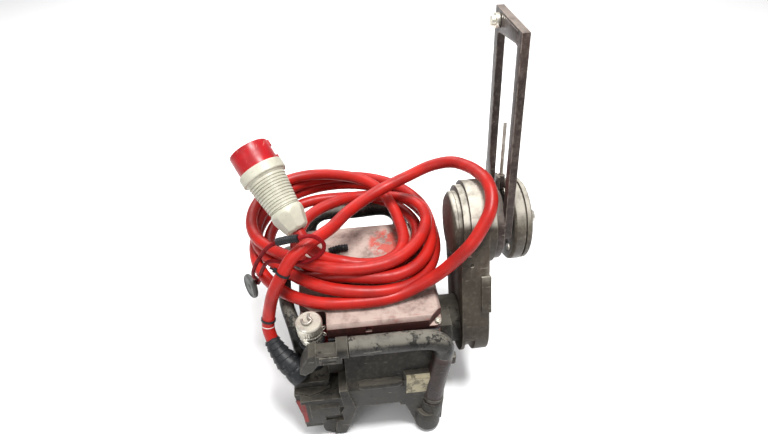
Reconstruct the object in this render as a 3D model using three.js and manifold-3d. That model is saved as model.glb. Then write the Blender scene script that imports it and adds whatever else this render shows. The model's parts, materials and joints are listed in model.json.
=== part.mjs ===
// Wall saw drive head: a rail carriage with a motor housing, a swivelling gear arm that carries the blade
// flange and the guard holder, tube handles, and a mains lead coiled on the lid.
// Millimetres, +Z up. The blade turns about X and the rail runs along Y. The feet stand on Z = 0.
import * as THREE from "three";
import { mergeVertices } from "three/addons/utils/BufferGeometryUtils.js";
import Module from "manifold-3d";

const wasm = await Module();
wasm.setup();

// ---------------------------------------------------------------- driving dimensions
const CENTRE_X = 54.5; // the origin's place along X, under the middle of the whole head

const GAP = 0.3; // space kept between neighbours
const BODY = { left: -92, right: 104, front: -106, back: 104, floor: 96.3, top: 176, wall: 5 };
const LID = { left: -95, right: 106, front: -103, back: 98, bottom: 180.3, top: 205, wall: 6 };
const SEAL = { bottom: 176.3, top: 180 };
const CHANNEL = { x: 8, halfBottom: 52, halfTop: 30, height: 72 };
const CARRIAGE = { left: -98, right: 104, half: 112, bottom: 16, top: 96 };
const ROLLER = { radius: 15, height: 16, z: 36, y: 80, axle: 4 };

const PIVOT = { y: -53, z: 135, r: 50 }; // the arm turns here, on the motor's own axis
const ARM_LENGTH = 151.5;
const ARM_LEAN = THREE.MathUtils.degToRad(26.6);
const HEAD = {
  y: PIVOT.y + ARM_LENGTH * Math.sin(ARM_LEAN),
  z: PIVOT.z + ARM_LENGTH * Math.cos(ARM_LEAN),
  r: 62,
};
const ARM = { cover: 130.5, left: 138, right: 177, nose: 188, wall: 10 };
const MODULE = 3; // gear module of the train in the arm
const TEETH = { input: 19, idler: 25, output: 32 };

const GUARD_LEAN = THREE.MathUtils.degToRad(11.5);
const GUARD = { left: 199, right: 209.3, legHalf: 7, spread: 47, reach: 288, plate: 28, pad: 0.6 };
const FLANGE = { left: 213, right: 228, outerRight: 239, r: 60 };

const BAR_R = 13.5; // radius of the handle tubes
const CABLE_R = 9;
const COIL = { x: -26, y: 66, a: 146, b: 141, hole: 78, bottom: LID.top + GAP, top: 262 };

// ---------------------------------------------------------------- materials
const paint = (color, roughness = 0.6, metalness = 0.2) =>
  new THREE.MeshStandardMaterial({ color, roughness, metalness });
const CAST = paint(0x5c5751, 0.65, 0.4);
const RED = paint(0xa63a36, 0.6, 0.1);
const DUSTY = paint(0xa98078, 0.8, 0.05);
const ARM_GREY = paint(0x8f877b, 0.6, 0.4);
const STEEL = paint(0x9a958c, 0.4, 0.9);
const DARK_STEEL = paint(0x4c423e, 0.5, 0.7);
const BLACK = paint(0x2b2b2d, 0.7, 0);
const BEIGE = paint(0xcfc8b4, 0.5, 0);
const CORD_RED = paint(0xd8322b, 0.45, 0);
const COPPER = paint(0xa9673c, 0.4, 0.8);
const GREEN = paint(0x2e5b40, 0.5, 0);

// ---------------------------------------------------------------- solids
function solid(geometry) {
  const bare = geometry.index ? geometry.toNonIndexed() : geometry.clone();
  bare.deleteAttribute("normal");
  bare.deleteAttribute("uv");
  const merged = mergeVertices(bare, 1e-4);
  return new wasm.Manifold(
    new wasm.Mesh({
      numProp: 3,
      vertProperties: new Float32Array(merged.attributes.position.array),
      triVerts: new Uint32Array(merged.index.array),
    }),
  );
}

function geometryOf(body) {
  const mesh = body.getMesh();
  const geometry = new THREE.BufferGeometry();
  geometry.setAttribute("position", new THREE.BufferAttribute(mesh.vertProperties, 3));
  geometry.setIndex(new THREE.BufferAttribute(mesh.triVerts, 1));
  geometry.computeVertexNormals();
  return geometry;
}

const join = (first, ...rest) => rest.reduce((all, one) => all.add(one), first);
const cut = (first, ...rest) => rest.reduce((all, one) => all.subtract(one), first);

// An extrusion's own X, Y and Z turned onto the axes that its outline and depth are drawn along.
const TURN = {
  x: new THREE.Matrix4().set(0, 0, 1, 0, 1, 0, 0, 0, 0, 1, 0, 0, 0, 0, 0, 1), // outline Y, Z
  y: new THREE.Matrix4().set(1, 0, 0, 0, 0, 0, -1, 0, 0, 1, 0, 0, 0, 0, 0, 1), // outline X, Z
  z: new THREE.Matrix4(), // outline X, Y
};

function prism(axis, shape, from, to, segments = 4) {
  const geometry = new THREE.ExtrudeGeometry(shape, {
    depth: to - from,
    bevelEnabled: false,
    curveSegments: segments,
  });
  geometry.applyMatrix4(TURN[axis]);
  if (axis === "x") geometry.translate(from, 0, 0);
  if (axis === "y") geometry.translate(0, to, 0);
  if (axis === "z") geometry.translate(0, 0, from);
  return solid(geometry);
}

const polygon = (points) => new THREE.Shape(points.map(([u, v]) => new THREE.Vector2(u, v)));

function roundedRect(u0, v0, u1, v1, r) {
  const shape = new THREE.Shape();
  shape.moveTo(u0 + r, v0);
  shape.lineTo(u1 - r, v0).absarc(u1 - r, v0 + r, r, -Math.PI / 2, 0);
  shape.lineTo(u1, v1 - r).absarc(u1 - r, v1 - r, r, 0, Math.PI / 2);
  shape.lineTo(u0 + r, v1).absarc(u0 + r, v1 - r, r, Math.PI / 2, Math.PI);
  shape.lineTo(u0, v0 + r).absarc(u0 + r, v0 + r, r, Math.PI, 1.5 * Math.PI);
  return shape;
}

function block(x0, x1, y0, y1, z0, z1, r = 0) {
  const shape = r
    ? roundedRect(x0, y0, x1, y1, r)
    : polygon([[x0, y0], [x1, y0], [x1, y1], [x0, y1]]);
  return prism("z", shape, z0, z1);
}

// A solid of revolution about the line through start along direction; profile holds [radius, distance].
function turned(start, direction, profile, segments = 20) {
  const points = profile.map(([r, d]) => new THREE.Vector2(Math.max(r, 0), d));
  const geometry = new THREE.LatheGeometry(points, segments);
  const axis = new THREE.Vector3(...direction).normalize();
  geometry.applyQuaternion(new THREE.Quaternion().setFromUnitVectors(new THREE.Vector3(0, 1, 0), axis));
  geometry.translate(...start);
  return solid(geometry);
}

const rod = (start, direction, radius, length, segments = 20) =>
  turned(start, direction, [[0, 0], [radius, 0], [radius, length], [0, length]], segments);

const pipe = (start, direction, inner, outer, length, segments = 20) =>
  turned(
    start,
    direction,
    [[inner, 0], [outer, 0], [outer, length], [inner, length], [inner, 0]],
    segments,
  );

const alongX = (at, x0, x1, radius, segments) => rod([x0, at.y, at.z], [1, 0, 0], radius, x1 - x0, segments);

const curveThrough = (points) =>
  new THREE.CatmullRomCurve3(points.map((p) => new THREE.Vector3(...p)), false, "centripetal");

function tube(points, radius, sides, steps) {
  const section = new THREE.Shape();
  for (let i = 0; i < sides; i += 1) {
    const turn = (2 * Math.PI * i) / sides;
    const [u, v] = [radius * Math.cos(turn), radius * Math.sin(turn)];
    if (i === 0) section.moveTo(u, v);
    else section.lineTo(u, v);
  }
  section.closePath();
  return solid(new THREE.ExtrudeGeometry(section, { steps, extrudePath: curveThrough(points) }));
}

// A spur gear about an X axis, with four corners to a tooth. phase turns it, in radians.
function gear(at, x0, x1, teeth, module, phase, bore) {
  const pitch = (module * teeth) / 2;
  const points = [];
  for (let i = 0; i < teeth; i += 1) {
    const middle = phase + (2 * Math.PI * i) / teeth;
    const step = (2 * Math.PI) / teeth;
    for (const [r, side] of [[pitch - 1.25 * module, -0.31], [pitch + 0.9 * module, -0.11],
      [pitch + 0.9 * module, 0.11], [pitch - 1.25 * module, 0.31]]) {
      const turn = middle + side * step;
      points.push([at.y + r * Math.cos(turn), at.z + r * Math.sin(turn)]);
    }
  }
  return cut(prism("x", polygon(points), x0, x1), alongX(at, x0 - 1, x1 + 1, bore));
}

// The point this far up the arm from its pivot, and this far to its rear side.
const upArm = (distance, aside = 0) => ({
  y: PIVOT.y + distance * Math.sin(ARM_LEAN) + aside * Math.cos(ARM_LEAN),
  z: PIVOT.z + distance * Math.cos(ARM_LEAN) - aside * Math.sin(ARM_LEAN),
});

// The arm's outline: two rounds joined by tangents, each this much smaller than the full size.
function armOutline(inset, lowR = PIVOT.r, highR = HEAD.r) {
  const [low, high] = [lowR - inset, highR - inset];
  const slope = Math.asin((high - low) / ARM_LENGTH);
  const axis = Math.PI / 2 - ARM_LEAN;
  const shape = new THREE.Shape();
  shape.absarc(PIVOT.y, PIVOT.z, low, axis + Math.PI / 2 + slope, axis + 1.5 * Math.PI - slope);
  shape.absarc(HEAD.y, HEAD.z, high, axis - Math.PI / 2 - slope, axis + Math.PI / 2 + slope);
  return shape;
}

// ---------------------------------------------------------------- the scene
const head = new THREE.Group();
head.name = "wall_saw_drive_head";
head.position.x = -CENTRE_X;

function add(name, body, material) {
  const mesh = new THREE.Mesh(geometryOf(body), material);
  mesh.name = name;
  head.add(mesh);
}

// ---------------------------------------------------------------- carriage on the rail
const channelWall = (z) =>
  CHANNEL.halfBottom - ((CHANNEL.halfBottom - CHANNEL.halfTop) * z) / CHANNEL.height;

const channelCut = prism(
  "y",
  polygon([
    [CHANNEL.x - channelWall(-2), -2],
    [CHANNEL.x + channelWall(-2), -2],
    [CHANNEL.x + CHANNEL.halfTop, CHANNEL.height],
    [CHANNEL.x - CHANNEL.halfTop, CHANNEL.height],
  ]),
  -200,
  200,
);

const rollerSpots = [];
for (const side of [-1, 1]) {
  for (const end of [-1, 1]) {
    const reach = channelWall(ROLLER.z) - 5 + ROLLER.radius;
    rollerSpots.push([CHANNEL.x + side * reach, end * ROLLER.y]);
  }
}

const PINION = { y: 30, z: 80, teeth: 10, module: 2.5, shaft: 4, half: 8 };
const FEED = { left: -94, right: -42, r: 15 };

function carriage() {
  let body = cut(
    block(CARRIAGE.left, CARRIAGE.right, -CARRIAGE.half, CARRIAGE.half, CARRIAGE.bottom, CARRIAGE.top, 8),
    channelCut,
  );
  for (const [x, y] of rollerSpots) {
    body = cut(
      body,
      rod([x, y, ROLLER.z - ROLLER.height / 2 - 1.5], [0, 0, 1], ROLLER.radius + 1.5, ROLLER.height + 3, 20),
      rod([x, y, CARRIAGE.bottom - 1], [0, 0, 1], ROLLER.axle + GAP, 41, 12),
    );
  }
  const tip = (PINION.module * (PINION.teeth + 2)) / 2;
  return cut(
    body,
    block(CHANNEL.x - PINION.half - 1.5, CHANNEL.x + PINION.half + 1.5, PINION.y - tip - 1.5,
      PINION.y + tip + 1.5, 60, CARRIAGE.top + 1),
    rod([FEED.left - 10, PINION.y, PINION.z], [1, 0, 0], FEED.r + GAP, FEED.right - FEED.left + 10.3),
    rod([FEED.right, PINION.y, PINION.z], [1, 0, 0], PINION.shaft + GAP, 90, 16),
  );
}
add("carriage_body", carriage(), CAST);

rollerSpots.forEach(([x, y], i) => {
  const low = ROLLER.z - ROLLER.height / 2;
  add(`guide_roller_${i + 1}`,
    turned([x, y, low], [0, 0, 1], [[ROLLER.axle + GAP, 0], [ROLLER.radius - 1.5, 0], [ROLLER.radius, 1.5],
      [ROLLER.radius, ROLLER.height - 1.5], [ROLLER.radius - 1.5, ROLLER.height],
      [ROLLER.axle + GAP, ROLLER.height], [ROLLER.axle + GAP, 0]], 16), STEEL);
  add(`roller_axle_${i + 1}`, rod([x, y, CARRIAGE.bottom + 1], [0, 0, 1], ROLLER.axle, 38, 12), DARK_STEEL);
});

const pinionAt = { y: PINION.y, z: PINION.z };
add("feed_pinion",
  join(
    gear(pinionAt, CHANNEL.x - PINION.half, CHANNEL.x + PINION.half, PINION.teeth, PINION.module, 0.1, 2),
    alongX(pinionAt, FEED.right + GAP + 0.3, 46, PINION.shaft, 16),
  ), STEEL);
add("feed_motor", alongX(pinionAt, FEED.left, FEED.right, FEED.r, 24), DARK_STEEL);

// ---------------------------------------------------------------- end castings
const LEG = { footR: 19.5, footX: 82.5, footY: -146, footTop: 47 };

const gland = { base: [-98.7, -122.1, 118.6], along: [-35, 34, 44] };
const glandTip = 20;
const bootLength = 54;
const glandAxis = new THREE.Vector3(...gland.along).normalize();
const onGland = (distance) => new THREE.Vector3(...gland.base).addScaledVector(glandAxis, distance).toArray();

function frontCasting() {
  const front = -150;
  const back = -CARRIAGE.half - GAP;
  const lower = prism("y", polygon([
    [-104, 20], [-78, 20], [-76, 10], [-64, 0], [-44, 0], [-24, 66], [47, 64], [64, 12], [104, 12],
    [104, 92], [96, 101], [-104, 101],
  ]), front, back);
  // the wall that slopes down from under the bar, in front of the motor housing
  const wall = prism("x", polygon([
    [front, 96], [back, 96], [back, 150], [BODY.front - GAP, 158], [BODY.front - GAP, 176], [-112, 190],
    [-121, 190], [-141, 130], [front, 116],
  ]), -36, 99);
  const ridge = turned([-22, -144, 121], [1, 0, 0], [[0, 0], [6, 3], [8, 10], [8, 56], [6, 64], [0, 68]], 16);
  const step = prism("x", polygon([[front, 90], [back, 90], [back, 137], [-146, 137], [front, 131]]), 46, 86);
  // the rib down the inner side of the left leg, and the stepped console beside it
  const rib = prism("y", polygon([
    [-62, 2], [-45, 2], [-27, 64], [-26, 76], [-35, 124], [-47, 124], [-43, 78], [-54, 50],
  ]), -153, back);
  const console = join(
    prism("z", polygon([[-114, -120], [-88, back], [-58, -119], [-62, -134], [-90, -143], [-110, -136]]), 78, 104),
    prism("y", polygon([[-104, 20], [-78, 20], [-78, 100], [-113, 100], [-110, 66]]), -138, back),
    prism("x", polygon([[-154, 44], [back, 44], [back, 93], [-145, 93], [-154, 84]]), -92, -50),
    prism("x", polygon([[-146, 20], [back, 20], [back, 84], [-138, 84], [-146, 74]]), -104, -60),
    block(-112, -60, -130, -78, BODY.floor, 118, 4),
  );
  const recess = block(-72, -46, -170, -148, 42, 62);
  const foot = turned([LEG.footX, LEG.footY, 0], [0, 0, 1],
    [[0, 0], [LEG.footR - 6, 0], [LEG.footR, 7], [LEG.footR, LEG.footTop - 12],
      [LEG.footR - 2, LEG.footTop], [0, LEG.footTop]], 28);
  const web = prism("y", polygon([[62, 14], [86, 14], [92, 44], [92, 92], [44, 92], [48, 64]]), front, -130);
  const holder = rod([LEG.footX + 5, LEG.footY, 40], [0.05, 0.04, 1], BAR_R + 3, 30, 24);
  const leftStep = block(-110, -78, -160, -140, -1, 40);
  const solidPart = join(cut(lower, leftStep), wall, ridge, step, rib, console, foot, web, holder);
  return cut(solidPart, recess, channelCut);
}

// ---------------------------------------------------------------- handles
const socketAt = [-79, -98]; // the control socket stands here
const FRONT_BAR = {
  route: [[-26, -134, 201], [20, -136, 204], [62, -137, 205], [86, -138, 203], [100, -139.5, 190],
    [99.5, -141, 168], [92, -144.5, 112], [88, -147, 47]],
  r: BAR_R, sides: 12, steps: 22,
};
const REAR_BAR = {
  route: [[-84, 140, 60], [-86, 147, 130], [-82, 153, 168], [-62, 156, 186], [-4, 156, 187],
    [54, 156, 186], [74, 153, 168], [78, 147, 130], [76, 140, 60]],
  r: BAR_R, sides: 12, steps: 26,
};
const SIDE_BAR = {
  route: [[-100, -85, 112], [-101, -82, 150], [-105, -71, 179], [-113, -46, 191], [-118, -10, 192],
    [-119, 30, 191], [-117, 66, 184], [-113, 94, 158], [-110, 112, 112]],
  r: 10, sides: 10, steps: 24,
};
const barOf = ({ route, r, sides, steps }, grow = 0) => tube(route, r + grow, sides, steps);

// The hole that a bar stands in: the bar itself grown by the gap, and a little deeper at its ends.
function roomFor(bar) {
  const ends = [[bar.route[0], bar.route[1]], [bar.route.at(-1), bar.route.at(-2)]].map(([end, next]) => {
    const away = new THREE.Vector3(...end).sub(new THREE.Vector3(...next)).normalize();
    const inside = new THREE.Vector3(...end).addScaledVector(away, -1).toArray();
    return rod(inside, away.toArray(), bar.r + 2 * GAP, 1 + 2 * GAP, 20);
  });
  return join(barOf(bar, GAP), ...ends);
}

const glandRoom = rod(onGland(-GAP), gland.along, 18.1, 90, 20);
add("front_casting", cut(frontCasting(), roomFor(FRONT_BAR), roomFor(SIDE_BAR), glandRoom), CAST);

function rearCasting() {
  const [front, back] = [CARRIAGE.half + GAP, 158];
  const lower = prism("y", polygon([
    [-104, 20], [-70, 20], [-66, 0], [-40, 0], [-38, 40], [54, 40], [56, 0], [82, 0], [86, 20], [104, 20],
    [104, 92], [96, 101], [-96, 101], [-104, 92],
  ]), front, back);
  const wall = prism("x", polygon([
    [front, 98], [146, 98], [132, 118], [114, 168], [BODY.back + GAP, 168], [BODY.back + GAP, 156],
    [front, 150],
  ]), -70, 64);
  const sockets = [-84, 76].map((x) => rod([x, 139, 40], [0, 0.05, 1], BAR_R + 5, 50, 24));
  const sidePost = block(-126, -97, front, front + 16, 88, 124, 6);
  return cut(join(lower, wall, ...sockets, sidePost), channelCut, roomFor(REAR_BAR), roomFor(SIDE_BAR));
}
add("rear_casting", rearCasting(), CAST);

add("front_handle", barOf(FRONT_BAR), CAST);
add("rear_handle", barOf(REAR_BAR), CAST);
add("side_bar", barOf(SIDE_BAR), CAST);

// the block that holds the front bar's left end, with a raised frame on its face
function handleBracket() {
  const collar = alongX({ y: -134, z: 201 }, -44, -28.5, BAR_R + 1, 20);
  const body = prism("x", polygon([
    [-148, 185], [-138, 178], [-119, 178], [-117, 192], [-127, 205], [-140, 208], [-148, 204],
  ]), -72, -38);
  const frame = cut(
    block(-67, -42, -149.5, -145, 187, 202),
    block(-64.5, -44.5, -151, -148.4, 189.5, 199.5),
  );
  const neck = prism("x", polygon([
    [-122, 124.5], [BODY.front - GAP, 124.5], [BODY.front - GAP, 174], [-118, 186], [-134, 186],
  ]), -60, -38);
  const wing = prism("y", polygon([
    [-71, 203], [-71, 179], [-79, 166], [-90, 158], [-97, 163], [-92, 178], [-82, 199],
  ]), -144, -121);
  return join(body, frame, neck, collar, wing);
}
add("handle_bracket", cut(handleBracket(), rod([...socketAt, 100], [0, 0, 1], 19.5, 130)), CAST);

// ---------------------------------------------------------------- motor housing and lid
const cornerCut = (z0, z1) => block(-130, -56, -140, -74, z0, z1, 6);

function shellOf({ left, right, front, back }, wall, z0, z1, r, corner = 0) {
  const outer = block(left + wall, right - wall, front + wall, back - wall, z0, z1, Math.max(r - wall, 1));
  return cut(outer, block(-130, -56 + corner, -140, -74 + corner, z0 - 1, z1 + 1, 6));
}

const shaftHole = alongX(PIVOT, 60, 140, 10.5, 24);
add("motor_housing",
  cut(
    shellOf(BODY, 0, BODY.floor, BODY.top, 10),
    shellOf(BODY, BODY.wall, BODY.floor + BODY.wall, BODY.top + 5, 10, BODY.wall),
    shaftHole,
  ), RED);

add("lid_seal",
  cut(shellOf(BODY, 0, SEAL.bottom, SEAL.top, 10), shellOf(BODY, 8, SEAL.bottom - 1, SEAL.top + 1, 10, 8)),
  BLACK);

// the lid's corners, each with the directions that lead outward; a screw stands on a ledge in each
const lidCorners = [[LID.right, LID.front, 1, -1], [LID.right, LID.back, 1, 1], [LID.left, LID.back, -1, 1],
  [LID.left, -74, -1, -1]];
const LEDGE = { z: 187, size: 20.5, screw: 5.8 };
const screwSpots = lidCorners.map(([x, y, u, v]) => [x - u * LEDGE.screw, y - v * LEDGE.screw]);

function lid() {
  const chamfer = 5;
  const outline = roundedRect(LID.left + chamfer, LID.front + chamfer, LID.right - chamfer, LID.back - chamfer, 6);
  const raised = new THREE.ExtrudeGeometry(outline, {
    depth: LID.top - LID.bottom - chamfer, bevelEnabled: true, bevelThickness: chamfer, bevelSize: chamfer,
    bevelSegments: 1, curveSegments: 4,
  });
  raised.translate(0, 0, LID.bottom);
  const outer = cut(solid(raised), block(-200, 200, -200, 200, LID.bottom - 20, LID.bottom), cornerCut(150, 220));
  const hollow = shellOf(LID, LID.wall, LID.bottom - 1, LID.top - LID.wall, 10, LID.wall);
  const bosses = lidCorners.map(([x, y, u, v]) =>
    prism("z", polygon(u * v > 0
      ? [[x - u * 26, y - v], [x - u, y - v], [x - u, y - v * 26]]
      : [[x - u, y - v * 26], [x - u, y - v], [x - u * 26, y - v]]), LID.bottom, LID.top - 3));
  const ledges = lidCorners.map(([x, y, u, v]) =>
    prism("z", polygon(u * v > 0
      ? [[x - u * LEDGE.size, y + v], [x + u * 6, y + v * 6], [x + u, y - v * LEDGE.size]]
      : [[x + u, y - v * LEDGE.size], [x + u * 6, y + v * 6], [x - u * LEDGE.size, y + v]]), LEDGE.z, LID.top + 2));
  const holes = screwSpots.map(([x, y]) => rod([x, y, LID.bottom - 1], [0, 0, 1], 2.9, 40, 8));
  const notch = block(-3, 6, LID.front - 2, LID.front + 4, 187, 199);
  const inside = bosses.map((boss) => boss.intersect(outer));
  return cut(join(cut(outer, hollow), ...inside), ...ledges, ...holes, notch);
}
add("housing_lid", lid(), DUSTY);

screwSpots.forEach(([x, y], i) => {
  const seat = LEDGE.z + GAP;
  add(`lid_screw_${i + 1}`,
    cut(
      turned([x, y, seat - 6], [0, 0, 1],
        [[0, 0], [2.5, 0], [2.5, 6], [4.6, 6], [4.6, 10.4], [4, 11], [0, 11]], 12),
      rod([x, y, seat + 2.6], [0, 0, 1], 2, 6, 6),
    ), STEEL);
});

// ---------------------------------------------------------------- inside the housing
add("motor_stator", pipe([-46, PIVOT.y, PIVOT.z], [1, 0, 0], 20, 32, 100, 28), COPPER);
add("control_board",
  join(
    block(-78, 88, 6, 90, 142, 145),
    block(-60, -20, 20, 60, 144, 164),
    block(0, 70, 30, 70, 144, 156),
    ...[[-72, 12], [82, 12], [-72, 84], [82, 84]].map(([x, y]) => rod([x, y, 101.6], [0, 0, 1], 3, 42, 8)),
  ), GREEN);

// ---------------------------------------------------------------- control socket and cable entry
add("control_socket",
  turned([...socketAt, 118.4], [0, 0, 1],
    [[0, 0], [14, 0], [14, 50], [18, 54], [18, 60], [15.5, 62], [15.5, 77], [0, 77]], 24), BLACK);
add("socket_cap",
  turned([...socketAt, 195.8], [0, 0, 1],
    [[0, 0], [17.5, 0], [18.2, 1.5], [18.2, 19], [16.8, 21], [0, 21.6]], 28), STEEL);
add("cap_hook",
  tube([[-88, -96, 219.7], [-86, -102, 219.9], [-80, -104, 220.2], [-75, -99, 221], [-79, -94, 222],
    [-78, -89, 222]], 1.9, 8, 14), STEEL);

add("cable_gland",
  turned(gland.base, gland.along, [[0, 0], [16, 0], [17.5, 8], [17.5, 16], [16, glandTip], [0, glandTip]], 12), BLACK);

function boot() {
  const profile = [[0, 0], [17.5, 0]];
  const rings = 5;
  for (let i = 0; i < rings; i += 1) {
    const d = 6 + (i * (bootLength - 10)) / rings;
    const r = 17.5 - (6.5 * d) / bootLength;
    profile.push([r, d], [r - 1.8, d + 2], [r - 0.8, d + 7]);
  }
  profile.push([10.8, bootLength], [0, bootLength]);
  return turned(onGland(glandTip + GAP), gland.along, profile, 14);
}
add("strain_relief", boot(), BLACK);

// ---------------------------------------------------------------- swivel bearing and clamp lever
const bearingRight = ARM.left - GAP;
add("swivel_bearing",
  cut(
    join(
      alongX(PIVOT, BODY.right + GAP, BODY.right + 9, 40, 32),
      alongX(PIVOT, BODY.right + 8, bearingRight, 36, 32),
      prism("x", polygon([[-100, 98], [-40, 98], [-40, 150], [-62, 172], [-94, 172], [-100, 160]]),
        BODY.right + GAP, 122),
    ),
    shaftHole,
  ), CAST);

const LEVER = { y: -84, z: 72 };
add("clamp_lever",
  join(
    alongX(LEVER, CARRIAGE.right + GAP, 118, 8, 20),
    prism("x", roundedRect(LEVER.y - 9, LEVER.z - 12, LEVER.y + 34, LEVER.z + 12, 8), 117, 126),
    block(124, 136, LEVER.y - 6, LEVER.y + 6, LEVER.z - 9, LEVER.z + 9, 3),
  ), ARM_GREY);

// ---------------------------------------------------------------- gear arm
const armHollow = join(
  prism("x", armOutline(ARM.wall), ARM.left + 7, ARM.right - 6, 8),
  alongX(HEAD, ARM.left - 1, ARM.left + 8, 42, 28),
  alongX(PIVOT, ARM.left - 1, ARM.left + 8, 10.5, 24),
);
// the head steps back on its left, above a level ledge
const SHOULDER = { z: HEAD.z - 4, inner: 47, innerRight: 143, outer: 55.5, outerRight: 152 };
const shoulders = join(
  pipe([ARM.left - 1, HEAD.y, HEAD.z], [1, 0, 0], SHOULDER.inner, 90, SHOULDER.innerRight - ARM.left + 1, 40),
  pipe([ARM.left - 1, HEAD.y, HEAD.z], [1, 0, 0], SHOULDER.outer, 90, SHOULDER.outerRight - ARM.left + 1, 40),
).intersect(block(100, 200, -200, 200, SHOULDER.z, 500));
const drum = alongX(HEAD, ARM.right - 1, ARM.nose, HEAD.r - 1, 32);
const noseBore = 17;

function armHousing() {
  const shell = join(prism("x", armOutline(0), ARM.left, ARM.right, 12), drum);
  // a raised pad on the front side, a plug hole, and a groove across the low end
  const frontSide = new THREE.Vector3(0, -Math.cos(ARM_LEAN), Math.sin(ARM_LEAN)).toArray();
  const armPoint = (distance, aside) => [upArm(distance, aside).y, upArm(distance, aside).z];
  const pad = prism("x", polygon([
    armPoint(30, -57), armPoint(86, -60.5), armPoint(86, -50), armPoint(30, -47),
  ]), 165, ARM.right + 1.5);
  const plug = upArm(104, -PIVOT.r - 1);
  const plugHole = rod([152, plug.y, plug.z], frontSide, 3, 12, 12);
  const grooveR = 7.5;
  const section = Array.from({ length: 13 }, (_, i) => [
    PIVOT.r + 0.5 + grooveR * Math.cos((Math.PI * i) / 6), grooveR * Math.sin((Math.PI * i) / 6),
  ]);
  const groove = turned([150, PIVOT.y, PIVOT.z], [1, 0, 0], section, 40)
    .intersect(block(100, 200, -160, 60, 0, PIVOT.z + 4));
  return cut(
    join(shell, pad),
    shoulders,
    armHollow,
    alongX(HEAD, ARM.right - 10, ARM.nose + 1, noseBore, 28),
    plugHole,
    groove,
  );
}
add("arm_housing", armHousing(), ARM_GREY);

// the round cover over the head's left side
add("arm_cover",
  turned([ARM.cover, HEAD.y, HEAD.z], [1, 0, 0],
    [[0, 0], [41, 0], [46, 3], [47, 4.5], [47, ARM.left - ARM.cover - GAP], [0, ARM.left - ARM.cover - GAP]], 40),
  ARM_GREY);

// gear train, left to right in the arm's hollow
const pitchOf = (teeth) => (MODULE * teeth) / 2;
const idlerAt = upArm(pitchOf(TEETH.input) + pitchOf(TEETH.idler));
const armAxis = Math.PI / 2 - ARM_LEAN; // from the pivot to the head, in the Y-Z plane
const toothStep = (teeth) => (2 * Math.PI) / teeth;
const gearX = [146, 162];

// A tooth of the idler points at each neighbour, so each neighbour has a gap there.
const idlerTurn = armAxis + Math.PI;
const nearestTooth = (Math.PI / toothStep(TEETH.idler)) % 1; // where the idler's far side falls in its pitch
const outputTurn = armAxis + Math.PI + (0.5 - nearestTooth) * toothStep(TEETH.output);

add("input_gear",
  gear(PIVOT, ...gearX, TEETH.input, MODULE, armAxis + toothStep(TEETH.input) / 2, 8 + GAP), STEEL);
add("idler_gear", gear(idlerAt, ...gearX, TEETH.idler, MODULE, idlerTurn, 7 + GAP), STEEL);
add("output_gear", gear(HEAD, ...gearX, TEETH.output, MODULE, outputTurn, 12 + GAP), STEEL);
add("idler_axle", alongX(idlerAt, ARM.left + 7.3, 170.7, 7, 20), DARK_STEEL);

add("motor_rotor",
  join(alongX(PIVOT, -44, 52, 19, 24), alongX(PIVOT, -49, 168, 8, 16)), STEEL);
add("spindle",
  join(alongX(HEAD, 140, 247, 12, 24), alongX(HEAD, 163, 170.5, 20, 24), alongX(HEAD, 170, 206, 16, 24)),
  STEEL);

// ---------------------------------------------------------------- blade flanges
const ringOfSpots = (count, radius, start = 0) =>
  Array.from({ length: count }, (_, i) => {
    const turn = start + (2 * Math.PI * i) / count;
    return { y: HEAD.y + radius * Math.cos(turn), z: HEAD.z + radius * Math.sin(turn) };
  });
const screwRing = ringOfSpots(3, 46, Math.PI / 3 + 0.35);

add("inner_flange",
  cut(
    turned([FLANGE.left, HEAD.y, HEAD.z], [1, 0, 0],
      [[12 + GAP, 0], [FLANGE.r - 4, 0], [FLANGE.r, 3], [FLANGE.r, 15], [12 + GAP, 15], [12 + GAP, 0]], 32),
    ...screwRing.map((at) => alongX(at, FLANGE.left - 1, FLANGE.right + 1, 3 + GAP, 12)),
  ), ARM_GREY);
add("outer_flange",
  turned([FLANGE.right + GAP, HEAD.y, HEAD.z], [1, 0, 0],
    [[12 + GAP, 0], [FLANGE.r - 6, 0], [FLANGE.r - 6, 2.7], [FLANGE.r - 1, 2.7], [FLANGE.r - 1, 8],
      [FLANGE.r - 4, 10.7], [28, 10.7], [28, 8.5], [12 + GAP, 8.5], [12 + GAP, 0]], 32), ARM_GREY);
screwRing.forEach((at, i) => {
  add(`flange_screw_${i + 1}`,
    join(alongX(at, FLANGE.left - 3, FLANGE.left - GAP, 5.5, 6), alongX(at, FLANGE.left - 2, FLANGE.right, 3, 8)),
    STEEL);
});
add("flange_nut",
  join(
    cut(alongX(HEAD, FLANGE.outerRight + GAP, 253, 14, 6), alongX(HEAD, 200, 248, 12 + GAP, 24)),
    alongX(HEAD, 252, 259, 9, 16),
  ), STEEL);

// ---------------------------------------------------------------- guard holder
const upGuard = (distance, aside = 0) => ({
  y: HEAD.y + distance * Math.sin(GUARD_LEAN) + aside * Math.cos(GUARD_LEAN),
  z: HEAD.z + distance * Math.cos(GUARD_LEAN) - aside * Math.sin(GUARD_LEAN),
});
const guardPoint = (distance, aside) => {
  const at = upGuard(distance, aside);
  return [at.y, at.z];
};

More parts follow.
